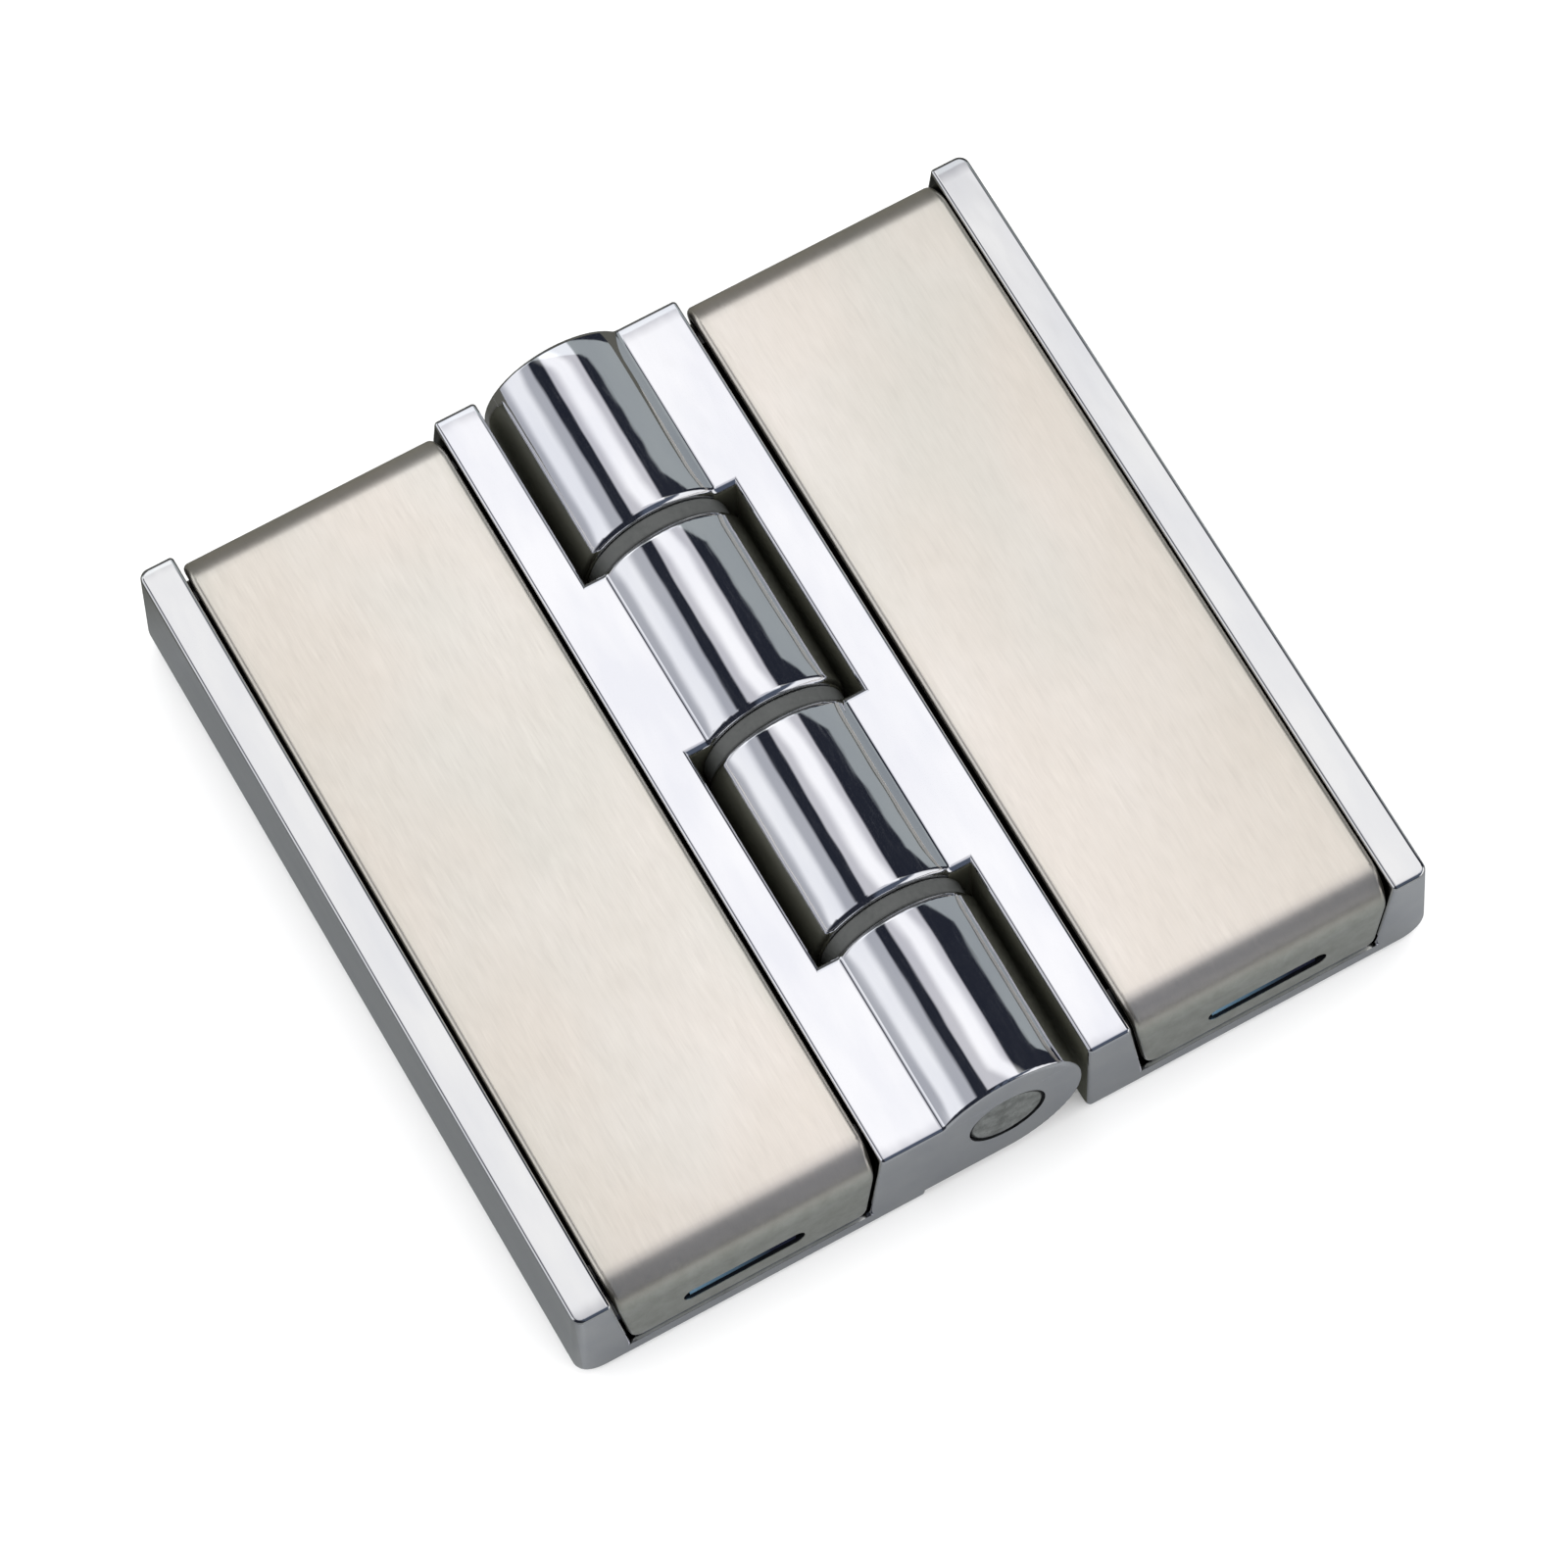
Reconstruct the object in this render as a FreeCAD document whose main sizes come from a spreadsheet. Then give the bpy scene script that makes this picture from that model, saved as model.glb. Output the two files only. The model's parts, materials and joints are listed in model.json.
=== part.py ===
import FreeCAD, Part
import Sketcher
import os
import re

# Door hinge with two die-cast leaves, two clip-on covers, one pin and three thrust washers.
# Frame: X across the leaves, Y along the pin, Z up.  The origin is on the mounting plane, under
# the middle of the pin, with the hinge open flat.  Every size is in millimetres.

DRIVING_SIZES = [
    # the leaves
    ("leaf_length", 65.0),          # along the pin
    ("leaf_reach", 34.0),           # from the pin's axis to the outer edge of the mounting face
    ("leaf_thickness", 10.5),
    ("side_draft", 0.4),            # how far the outer side leans in from bottom to top
    ("side_round", 2.2),            # along the outer bottom edge
    ("corner_round", 0.8),          # on the outer corners and along the bottom of each end
    ("edge_round", 0.3),            # on the polished edges
    ("knuckle_round", 0.55),        # on the ends of the barrels that face a gap
    # the barrel
    ("barrel_radius", 6.0),
    ("barrel_lift", 1.0),           # of the barrels above the mounting plane
    ("notch_clearance", 0.5),       # between a barrel and the other leaf
    ("knuckle_length", 15.4),       # of the two inner knuckles
    ("knuckle_gap", 1.4),
    ("crease_round", 0.5),          # where a barrel meets the top of its leaf
    # the pin and the washers
    ("pin_radius", 3.0),
    ("running_clearance", 0.05),
    ("pin_chamfer", 0.25),
    ("pin_recess", 0.1),            # of each pin end below the knuckle's face
    ("washer_setback", 0.4),        # of a washer's rim inside the barrels
    ("washer_clearance", 0.05),     # on each side of a washer
    ("washer_round", 0.15),
    # the channel under the cover
    ("inner_rail", 3.3),            # width of the rail beside the barrel, at the top
    ("outer_rail", 2.8),            # width of the rail at the outer side, at the top
    ("wall_slope", 7.0),            # lean of the channel walls, in degrees
    ("floor_height", 4.0),
    ("ledge_height", 1.9),          # of the strip under each end plate of the cover
    ("end_wall_flat", 0.35),        # level part of an end wall's top, behind its round
    ("lug_end_gap", 0.6),           # between a lug and each end of its slot
    ("lug_side_gap", 0.15),         # above and below a lug in its slot
    ("lug_setback", 0.25),          # of a lug's tip from the face of the end plate
    # the screw holes
    ("screw_spacing", 40.0),
    ("screw_hole", 5.5),
    ("screw_head", 10.4),
    ("head_angle", 90.0),
    # the covers
    ("sheet", 0.8),
    ("bend_radius", 2.8),           # outside of the bend
    ("cover_gap", 0.22),            # beside each rail
    ("cover_play", 0.15),           # how far the right cover has slid outwards in its channel
    ("plate_setback", 0.1),         # of each end plate's face from the leaf's end
    ("plate_back_gap", 0.25),       # behind each end plate
    ("plate_bottom_gap", 0.2),
    ("plate_corner", 1.0),
    ("cover_edge_round", 0.45),
    ("slot_length", 9.5),
    ("slot_height", 1.5),
    ("slot_middle", 4.8),           # height of the slot's middle
    ("slot_offset", 0.4),           # of the slot from the channel's middle, outwards
]

doc = FreeCAD.newDocument("door_hinge")
sheet = doc.addObject("Spreadsheet::Sheet", "sizes")
for row, (alias, value) in enumerate(DRIVING_SIZES, start=1):
    sheet.set(f"A{row}", alias)
    sheet.set(f"B{row}", str(value))
    sheet.setAlias(f"B{row}", alias)

DERIVED_SIZES = [
    ("wall_lean", "=tan(wall_slope)"),
    ("pin_height", "=barrel_lift + barrel_radius"),
    ("washer_radius", "=barrel_radius - washer_setback"),
    ("notch_wall", "=barrel_radius + notch_clearance"),
    ("channel_near", "=notch_wall + inner_rail"),
    ("channel_far", "=leaf_reach - side_draft - outer_rail"),
    ("channel_middle", "=(channel_near + channel_far) / 2"),
    ("slot_place", "=channel_middle + slot_offset"),
    ("inner_face", "=knuckle_gap / 2"),
    ("inner_end", "=inner_face + knuckle_length"),
    ("outer_face", "=inner_end + knuckle_gap"),
    ("leaf_end", "=leaf_length / 2"),
    ("plate_face", "=leaf_end - plate_setback"),
    ("wall_face", "=plate_face - sheet - plate_back_gap"),
    ("end_wall_round", "=bend_radius - sheet + plate_back_gap"),
    ("end_wall", "=end_wall_round + end_wall_flat"),
    ("cover_seat", "=leaf_thickness - sheet"),
    ("plate_bottom", "=ledge_height + plate_bottom_gap"),
    ("lug_length", "=slot_length - 2 * lug_end_gap"),
    ("lug_height", "=slot_height - 2 * lug_side_gap"),
    ("lug_bottom", "=slot_middle - lug_height / 2"),
    ("lug_top", "=slot_middle + lug_height / 2"),
    ("lug_tip", "=plate_face - lug_setback"),
]
for row, (alias, formula) in enumerate(DERIVED_SIZES, start=len(DRIVING_SIZES) + 1):
    sheet.set(f"A{row}", alias)
    sheet.set(f"B{row}", formula)
    sheet.setAlias(f"B{row}", alias)
doc.recompute()

TINY = 1e-4


def size(name):
    """A size from the sheet, as a number."""
    return float(sheet.get(name))


def term(expression):
    """An expression in the sheet's own names, as a feature wants it."""
    return re.sub("[a-z_]+", lambda word: "sizes." + word.group(), expression)


def new_body(name):
    body = doc.addObject("PartDesign::Body", name)
    body.Label = name
    doc.recompute()
    return body


def origin_plane(body, role):
    return next(plane for plane in body.Origin.OriginFeatures if plane.Role == role)


def new_sketch(body, name, role, offset=None):
    """An empty sketch on one of the body's own planes, moved along the plane's normal."""
    sketch = body.newObject("Sketcher::SketchObject", name)
    sketch.AttachmentSupport = [(origin_plane(body, role), "")]
    sketch.MapMode = "FlatFace"
    if offset:
        sketch.setExpression(".AttachmentOffset.Base.z", term(offset))
    return sketch


def pin_point(sketch, geometry, position, place):
    """Ties one sketch point to a place given by two expressions."""
    for kind, expression in zip(("DistanceX", "DistanceY"), place):
        if expression == "0":
            axis = {"DistanceX": -2, "DistanceY": -1}[kind]
            sketch.addConstraint(Sketcher.Constraint("PointOnObject", geometry, position, axis))
            continue
        number = sketch.evalExpression(term(expression))
        tie = Sketcher.Constraint(kind, -1, 1, geometry, position, float(number))
        index = sketch.addConstraint(tie)
        sketch.setExpression(f"Constraints[{index}]", term(expression))


def outline(body, name, role, places, offset=None):
    """A closed outline of straight lines through the given places."""
    sketch = new_sketch(body, name, role, offset)
    points = [FreeCAD.Vector(*[float(sketch.evalExpression(term(part))) for part in place], 0)
              for place in places]
    count = len(points)
    for index in range(count):
        sketch.addGeometry(Part.LineSegment(points[index], points[(index + 1) % count]))
    for index in range(count):
        sketch.addConstraint(Sketcher.Constraint("Coincident", index, 2, (index + 1) % count, 1))
    for index, place in enumerate(places):
        pin_point(sketch, index, 1, place)
    return sketch


def circle(body, name, role, places, radius, offset=None):
    """A sketch of equal circles round the given places."""
    sketch = new_sketch(body, name, role, offset)
    for index, place in enumerate(places):
        numbers = [float(sketch.evalExpression(term(part))) for part in place]
        start_radius = float(sketch.evalExpression(term(radius)))
        sketch.addGeometry(Part.Circle(FreeCAD.Vector(*numbers, 0), FreeCAD.Vector(0, 0, 1), start_radius))
        pin_point(sketch, index, 3, place)
        tie = sketch.addConstraint(Sketcher.Constraint("Radius", index, start_radius))
        sketch.setExpression(f"Constraints[{tie}]", term(radius))
    return sketch


def pad(body, name, sketch, length, both_sides=False, reverse=False):
    feature = body.newObject("PartDesign::Pad", name)
    feature.Profile = sketch
    feature.setExpression("Length", term(length))
    feature.SideType = "Symmetric" if both_sides else "One side"
    feature.Reversed = reverse
    doc.recompute()
    return feature


def pocket(body, name, sketch, length=None, both_sides=True, reverse=False):
    """Cuts a sketch away to a length, or right through, and insists that something was cut."""
    before = body.Shape.Volume
    feature = body.newObject("PartDesign::Pocket", name)
    feature.Profile = sketch
    feature.SideType = "Symmetric" if both_sides else "One side"
    if length:
        feature.setExpression("Length", term(length))
    else:
        feature.Type = "ThroughAll"
    feature.Reversed = reverse
    doc.recompute()
    if body.Shape.Volume > before - TINY:
        raise RuntimeError(f"{name} cut nothing")
    return feature


def mirror(body, name, feature, role):
    """Repeats a feature on the other side of one of the body's planes."""
    copy = body.newObject("PartDesign::Mirrored", name)
    copy.Originals = [feature]
    copy.MirrorPlane = (origin_plane(body, role), [""])
    body.Tip = copy
    doc.recompute()
    return copy


def fillet(body, name, radius, wanted):
    """Rounds every edge of the body that the test accepts."""
    base = body.Tip
    names = [f"Edge{index}" for index, edge in enumerate(base.Shape.Edges, start=1) if wanted(edge)]
    if not names:
        raise RuntimeError(f"{name} found no edges")
    feature = body.newObject("PartDesign::Fillet", name)
    feature.Base = (base, names)
    feature.setExpression("Radius", term(radius))
    doc.recompute()
    return feature


def close(value, target, tolerance=1e-3):
    return abs(value - target) < tolerance


def spans(edge, axis):
    """The lowest and highest coordinate of an edge along one axis (0, 1 or 2)."""
    box = edge.BoundBox
    return ((box.XMin, box.XMax), (box.YMin, box.YMax), (box.ZMin, box.ZMax))[axis]


def lies_at(edge, axis, places):
    low, high = spans(edge, axis)
    return any(close(low, place) and close(high, place) for place in places)


def runs_along(edge, axis):
    """Whether an edge is straight and parallel to one axis."""
    others = [other for other in range(3) if other != axis]
    return all(close(*spans(edge, other)) for other in others)


def channel_outline(body, name, bottom, offset=None):
    """The cross-section of the channel between the rails, from a height up to the leaf's top."""
    lean = f"(leaf_thickness - {bottom}) * wall_lean"
    places = [
        (f"channel_near + {lean}", bottom),
        (f"channel_far - {lean}", bottom),
        ("channel_far", "leaf_thickness"),
        ("channel_near", "leaf_thickness"),
    ]
    return outline(body, name, "XZ_Plane", places, offset)


def add_plate(body):
    """The flat part of a leaf, as one solid block with a leaning, rounded outer side."""
    section = [
        ("notch_wall", "0"),
        ("leaf_reach", "0"),
        ("leaf_reach - side_draft", "leaf_thickness"),
        ("notch_wall", "leaf_thickness"),
    ]
    sketch = outline(body, "plate_section", "XZ_Plane", section)
    pad(body, "plate", sketch, "leaf_length", both_sides=True)
    reach = size("leaf_reach")
    fillet(body, "side_rounding", "side_round",
           lambda edge: runs_along(edge, 1) and lies_at(edge, 0, [reach]) and lies_at(edge, 2, [0]))
    fillet(body, "corner_rounds", "corner_round",
           lambda edge: spans(edge, 0)[0] > reach - size("side_draft") - TINY
           and close(abs(edge.CenterOfMass.y), size("leaf_end")))


def add_knuckles(body):
    """The two barrels of a leaf, each with a web that joins it to the plate."""
    web = [
        ("0", "barrel_lift"),
        ("notch_wall + inner_rail / 2", "barrel_lift"),
        ("notch_wall + inner_rail / 2", "leaf_thickness"),
        ("0", "leaf_thickness"),
    ]
    spans_along_pin = {
        "outer": ("leaf_end", "leaf_end - outer_face"),
        "inner": ("-inner_face", "knuckle_length"),
    }
    for name, (far_face, length) in spans_along_pin.items():
        plane_offset = f"-({far_face})"
        barrel = circle(body, f"{name}_barrel_section", "XZ_Plane", [("0", "pin_height")],
                        "barrel_radius", plane_offset)
        pad(body, f"{name}_barrel", barrel, length)
        web_sketch = outline(body, f"{name}_web_section", "XZ_Plane", web, plane_offset)
        pad(body, f"{name}_web", web_sketch, length)
    rise = size("leaf_thickness") - size("pin_height")
    crease = (size("barrel_radius") ** 2 - rise ** 2) ** 0.5
    fillet(body, "creases", "crease_round",
           lambda edge: runs_along(edge, 1) and lies_at(edge, 0, [crease])
           and lies_at(edge, 2, [size("leaf_thickness")]))


def add_channel(body):
    """The channel that the cover closes: its seat, its floor and the ledge at each end.

    The end walls are rounded on top to stay inside the cover's bends.
    """
    pocket(body, "cover_seat", channel_outline(body, "cover_seat_section", "cover_seat"))
    channel = channel_outline(body, "channel_section", "floor_height")
    pocket(body, "channel", channel, "2 * (wall_face - end_wall)")
    recess = channel_outline(body, "end_recess_section", "ledge_height", "-leaf_end")
    end_recess = pocket(body, "end_recess", recess, "leaf_end - wall_face", both_sides=False, reverse=True)
    mirror(body, "other_end_recess", end_recess, "XZ_Plane")
    wall = size("wall_face")
    fillet(body, "end_wall_rounds", "end_wall_round",
           lambda edge: runs_along(edge, 0) and lies_at(edge, 1, [-wall, wall])
           and lies_at(edge, 2, [size("cover_seat")]))


def add_lugs(body):
    """The wedge on each end wall that clicks into the slot of the cover's end plate."""
    wedge = [
        ("wall_face - end_wall / 2", "lug_bottom"),
        ("lug_tip", "lug_bottom"),
        ("lug_tip", "lug_bottom + lug_height / 4"),
        ("wall_face", "lug_top"),
        ("wall_face - end_wall / 2", "lug_top"),
    ]
    sketch = outline(body, "lug_section", "YZ_Plane", wedge, "slot_place")
    lug = pad(body, "lug", sketch, "lug_length", both_sides=True)
    mirror(body, "other_lug", lug, "XZ_Plane")


def add_screw_holes(body):
    """Two countersunk holes in the channel's floor."""
    places = [("channel_middle", "screw_spacing / 2"), ("channel_middle", "-screw_spacing / 2")]
    sketch = circle(body, "screw_hole_places", "XY_Plane", places, "screw_hole / 2", "floor_height")
    before = body.Shape.Volume
    hole = body.newObject("PartDesign::Hole", "screw_holes")
    hole.Profile = sketch
    hole.DepthType = "ThroughAll"
    hole.HoleCutType = "Countersink"
    hole.HoleCutCustomValues = True
    hole.setExpression("Diameter", term("screw_hole"))
    hole.setExpression("HoleCutDiameter", term("screw_head"))
    hole.setExpression("HoleCutCountersinkAngle", term("head_angle"))
    doc.recompute()
    if body.Shape.Volume > before - TINY:
        raise RuntimeError("the screw holes cut nothing")


def round_edges(body):
    """The small rounds of a polished casting."""
    end = size("leaf_end")
    top = size("leaf_thickness")
    bore = size("pin_radius") + size("running_clearance")
    knuckle_faces = [size("outer_face"), -size("inner_face"), -size("inner_end")]
    long_edges = [size("notch_wall"), size("channel_near"), size("channel_far"),
                  size("leaf_reach") - size("side_draft")]

    def is_bore(edge):
        low, high = spans(edge, 0)
        return high - low < 2 * bore + TINY and close(edge.CenterOfMass.z, size("pin_height"))

    def on_knuckle_face(edge):
        return lies_at(edge, 1, knuckle_faces) and spans(edge, 0)[0] < size("notch_wall") - TINY

    def on_leaf_end(edge):
        return lies_at(edge, 1, [-end, end]) and spans(edge, 2)[1] > top - TINY

    def at_top(edge):
        return lies_at(edge, 2, [top]) and lies_at(edge, 0, long_edges)

    fillet(body, "knuckle_rounds", "knuckle_round",
           lambda edge: on_knuckle_face(edge) and not is_bore(edge)
           and spans(edge, 2)[1] > size("pin_height"))
    fillet(body, "polished_rounds", "edge_round",
           lambda edge: not is_bore(edge) and not on_knuckle_face(edge)
           and (on_leaf_end(edge) or at_top(edge)))


def build_leaf(name, bore_clearance, turn):
    """A leaf, modelled on the +X side.  The other leaf is the same casting turned half round."""
    body = new_body(name)
    add_plate(body)
    add_knuckles(body)
    add_channel(body)
    add_lugs(body)
    bore = circle(body, "bore_section", "XZ_Plane", [("0", "pin_height")], f"pin_radius + {bore_clearance}")
    pocket(body, "bore", bore)
    add_screw_holes(body)
    round_edges(body)
    body.Placement = turned(turn)
    return body


def turned(angle):
    """A turn about the vertical through the middle of the hinge."""
    return FreeCAD.Placement(FreeCAD.Vector(), FreeCAD.Rotation(FreeCAD.Vector(0, 0, 1), angle))


def fold_strip(body, shift):
    """A flat strip with both ends bent down, as wide as the channel's top less a gap each side."""
    section = [
        ("-plate_face", "plate_bottom"),
        ("-plate_face", "leaf_thickness"),
        ("plate_face", "leaf_thickness"),
        ("plate_face", "plate_bottom"),
        ("plate_face - sheet", "plate_bottom"),
        ("plate_face - sheet", "cover_seat"),
        ("-plate_face + sheet", "cover_seat"),
        ("-plate_face + sheet", "plate_bottom"),
    ]
    sketch = outline(body, "strip_section", "YZ_Plane", section, f"channel_middle + {shift}")
    pad(body, "strip", sketch, "channel_far - channel_near - 2 * cover_gap", both_sides=True)
    outside = size("plate_face")
    inside = outside - size("sheet")
    fillet(body, "outer_bends", "bend_radius",
           lambda edge: lies_at(edge, 1, [-outside, outside]) and lies_at(edge, 2, [size("leaf_thickness")]))
    fillet(body, "inner_bends", "bend_radius - sheet",
           lambda edge: lies_at(edge, 1, [-inside, inside]) and lies_at(edge, 2, [size("cover_seat")]))


def taper_sides(body, shift):
    """Both sides lean in with the channel walls, and the end plates have round lower corners."""
    lean = "(leaf_thickness - plate_bottom) * wall_lean"
    sides = {
        "near": ("channel_near + cover_gap", lean, "-sheet"),
        "far": ("channel_far - cover_gap", f"-{lean}", "sheet"),
    }
    for name, (edge, inward, outward) in sides.items():
        wedge = [
            (f"{edge} + {shift}", "leaf_thickness"),
            (f"{edge} + {shift} + {inward}", "plate_bottom"),
            (f"{edge} + {shift} + {outward}", "plate_bottom"),
            (f"{edge} + {shift} + {outward}", "leaf_thickness"),
        ]
        pocket(body, f"{name}_taper", outline(body, f"{name}_taper_section", "XZ_Plane", wedge))
    fillet(body, "plate_corners", "plate_corner",
           lambda edge: runs_along(edge, 1) and lies_at(edge, 2, [size("plate_bottom")]))


def cut_slots(body, shift):
    """The long slot in each end plate that clicks over the leaf's lug."""
    half = "(slot_length - slot_height) / 2"
    middle = f"slot_place + {shift}"
    ends = [(f"{middle} - {half}", "slot_middle"), (f"{middle} + {half}", "slot_middle")]
    straight = [
        (f"{middle} - {half}", "slot_middle - slot_height / 2"),
        (f"{middle} + {half}", "slot_middle - slot_height / 2"),
        (f"{middle} + {half}", "slot_middle + slot_height / 2"),
        (f"{middle} - {half}", "slot_middle + slot_height / 2"),
    ]
    pocket(body, "slot_ends", circle(body, "slot_ends_section", "XZ_Plane", ends, "slot_height / 2"))
    pocket(body, "slots", outline(body, "slots_section", "XZ_Plane", straight))


def build_cover(name, shift, turn):
    """A clip-on cover.  It may sit a little to one side in its channel."""
    body = new_body(name)
    fold_strip(body, shift)
    taper_sides(body, shift)
    cut_slots(body, shift)
    top = size("leaf_thickness")
    fillet(body, "soft_edges", "cover_edge_round",
           lambda edge: runs_along(edge, 1) and lies_at(edge, 2, [top]))
    body.Placement = turned(turn)
    return body


def build_pin():
    body = new_body("hinge_pin")
    section = circle(body, "pin_section", "XZ_Plane", [("0", "pin_height")], "pin_radius")
    pad(body, "pin", section, "leaf_length - 2 * pin_recess", both_sides=True)
    base = body.Tip
    ends = [f"Edge{index}" for index, edge in enumerate(base.Shape.Edges, start=1)
            if close(abs(edge.CenterOfMass.y), size("leaf_end") - size("pin_recess"))]
    chamfer = body.newObject("PartDesign::Chamfer", "pin_ends")
    chamfer.Base = (base, ends)
    chamfer.setExpression("Size", term("pin_chamfer"))
    doc.recompute()
    return body


def build_washer(name, place):
    """A thrust washer in one gap of the barrel.  Its place is the gap's middle along the pin."""
    body = new_body(name)
    section = circle(body, "washer_section", "XZ_Plane", [("0", "pin_height")], "washer_radius",
                     f"-({place})")
    pad(body, "washer", section, "knuckle_gap - 2 * washer_clearance", both_sides=True)
    bore = circle(body, "washer_bore_section", "XZ_Plane", [("0", "pin_height")],
                  "pin_radius + running_clearance")
    pocket(body, "washer_bore", bore)
    rim = 2 * size("washer_radius") - TINY
    fillet(body, "rim_rounds", "washer_round",
           lambda edge: spans(edge, 0)[1] - spans(edge, 0)[0] > rim)
    return body


def check_and_write(bodies):
    """Writes every sub-part once all of them are sound."""
    doc.recompute()
    for item in doc.Objects:
        if "Invalid" in item.State or "Error" in item.State:
            raise RuntimeError(f"{item.Name} failed: {item.State}")
    for body in bodies:
        if body.Shape.isNull() or not body.Shape.isValid() or len(body.Shape.Solids) != 1:
            raise RuntimeError(f"{body.Label} is not one sound solid")
    os.makedirs("parts", exist_ok=True)
    for body in bodies:
        body.Shape.exportStep(f"parts/{body.Label}.step")
        box = body.Shape.optimalBoundingBox()
        print(f"{body.Label}: {body.Shape.Volume:.1f} mm3, "
              f"{box.XLength:.2f} x {box.YLength:.2f} x {box.ZLength:.2f} mm")


HALF_TURN = 180
sub_parts = [
    build_leaf("leaf_left", "0", HALF_TURN),
    build_leaf("leaf_right", "running_clearance", 0),
    build_cover("cover_left", "0", HALF_TURN),
    build_cover("cover_right", "cover_play", 0),
    build_pin(),
]
gap_middles = ["inner_end + knuckle_gap / 2", "0", "-inner_end - knuckle_gap / 2"]
for number, gap_middle in enumerate(gap_middles, start=1):
    sub_parts.append(build_washer(f"thrust_washer_{number}", gap_middle))
check_and_write(sub_parts)
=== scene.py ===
import json
import math
from functools import cached_property

import bpy
from mathutils import Matrix, Vector

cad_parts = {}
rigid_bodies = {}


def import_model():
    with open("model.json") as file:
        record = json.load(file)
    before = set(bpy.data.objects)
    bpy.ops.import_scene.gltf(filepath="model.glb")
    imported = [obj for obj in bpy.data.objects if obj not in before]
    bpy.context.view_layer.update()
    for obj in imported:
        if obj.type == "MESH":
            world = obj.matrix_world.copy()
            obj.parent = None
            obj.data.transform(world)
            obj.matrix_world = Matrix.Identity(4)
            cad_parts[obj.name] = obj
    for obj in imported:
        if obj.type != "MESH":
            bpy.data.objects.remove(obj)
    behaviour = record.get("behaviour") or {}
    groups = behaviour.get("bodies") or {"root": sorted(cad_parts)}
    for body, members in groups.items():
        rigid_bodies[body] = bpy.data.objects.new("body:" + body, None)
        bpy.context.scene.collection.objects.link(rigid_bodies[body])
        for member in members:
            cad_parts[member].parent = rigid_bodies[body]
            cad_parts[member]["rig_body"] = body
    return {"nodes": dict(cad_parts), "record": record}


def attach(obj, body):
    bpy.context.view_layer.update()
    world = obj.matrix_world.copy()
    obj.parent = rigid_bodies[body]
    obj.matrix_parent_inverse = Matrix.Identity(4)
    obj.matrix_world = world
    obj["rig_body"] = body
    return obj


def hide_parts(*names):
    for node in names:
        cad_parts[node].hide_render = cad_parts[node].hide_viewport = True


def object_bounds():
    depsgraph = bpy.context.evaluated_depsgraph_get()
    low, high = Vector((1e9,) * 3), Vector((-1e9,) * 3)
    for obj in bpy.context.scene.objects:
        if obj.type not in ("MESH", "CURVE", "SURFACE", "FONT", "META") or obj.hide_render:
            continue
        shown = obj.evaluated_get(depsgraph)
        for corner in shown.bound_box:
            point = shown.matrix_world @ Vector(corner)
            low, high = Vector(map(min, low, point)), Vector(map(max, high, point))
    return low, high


# The door hinge in a plain studio.  Everything is in metres, in the hinge's own frame: X across the
# leaves, Y along the pin, Z up from the mounting plane.

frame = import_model()
cad_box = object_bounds()

MM = 0.001

# ---------------------------------------------------------------------------------------------
# Camera: a long lens, looking down at the open hinge from the front left
# ---------------------------------------------------------------------------------------------
CAMERA_AZIMUTH = math.radians(-25.4)     # 0 looks along +Y
CAMERA_ELEVATION = math.radians(66.2)
CAMERA_ROLL = math.radians(-4.1)
CAMERA_DISTANCE = 549.6 * MM
CAMERA_LENS = 179.5                      # in millimetres, as Blender counts it
CAMERA_SENSOR = 36
CAMERA_CLIP = 10 * MM
AIM_OFFSET = Vector((-0.86, -2.4, -1.25)) * MM   # from the middle of the hinge's box


def add_camera():
    low, high = (Vector(corner) for corner in cad_box)
    aim = (low + high) / 2 + AIM_OFFSET
    back = Vector((
        math.cos(CAMERA_ELEVATION) * math.sin(CAMERA_AZIMUTH),
        -math.cos(CAMERA_ELEVATION) * math.cos(CAMERA_AZIMUTH),
        math.sin(CAMERA_ELEVATION),
    ))
    right = Vector((0, 0, 1)).cross(back).normalized()
    up = back.cross(right)
    level = Matrix((right, up, back)).transposed().to_4x4()
    data = bpy.data.cameras.new("camera")
    data.lens = CAMERA_LENS
    data.sensor_width = CAMERA_SENSOR
    data.clip_start = CAMERA_CLIP
    camera = bpy.data.objects.new("camera", data)
    roll = Matrix.Rotation(CAMERA_ROLL, 4, "Z")
    camera.matrix_world = Matrix.Translation(aim + back * CAMERA_DISTANCE) @ level @ roll
    bpy.context.scene.collection.objects.link(camera)
    bpy.context.scene.camera = camera


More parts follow.
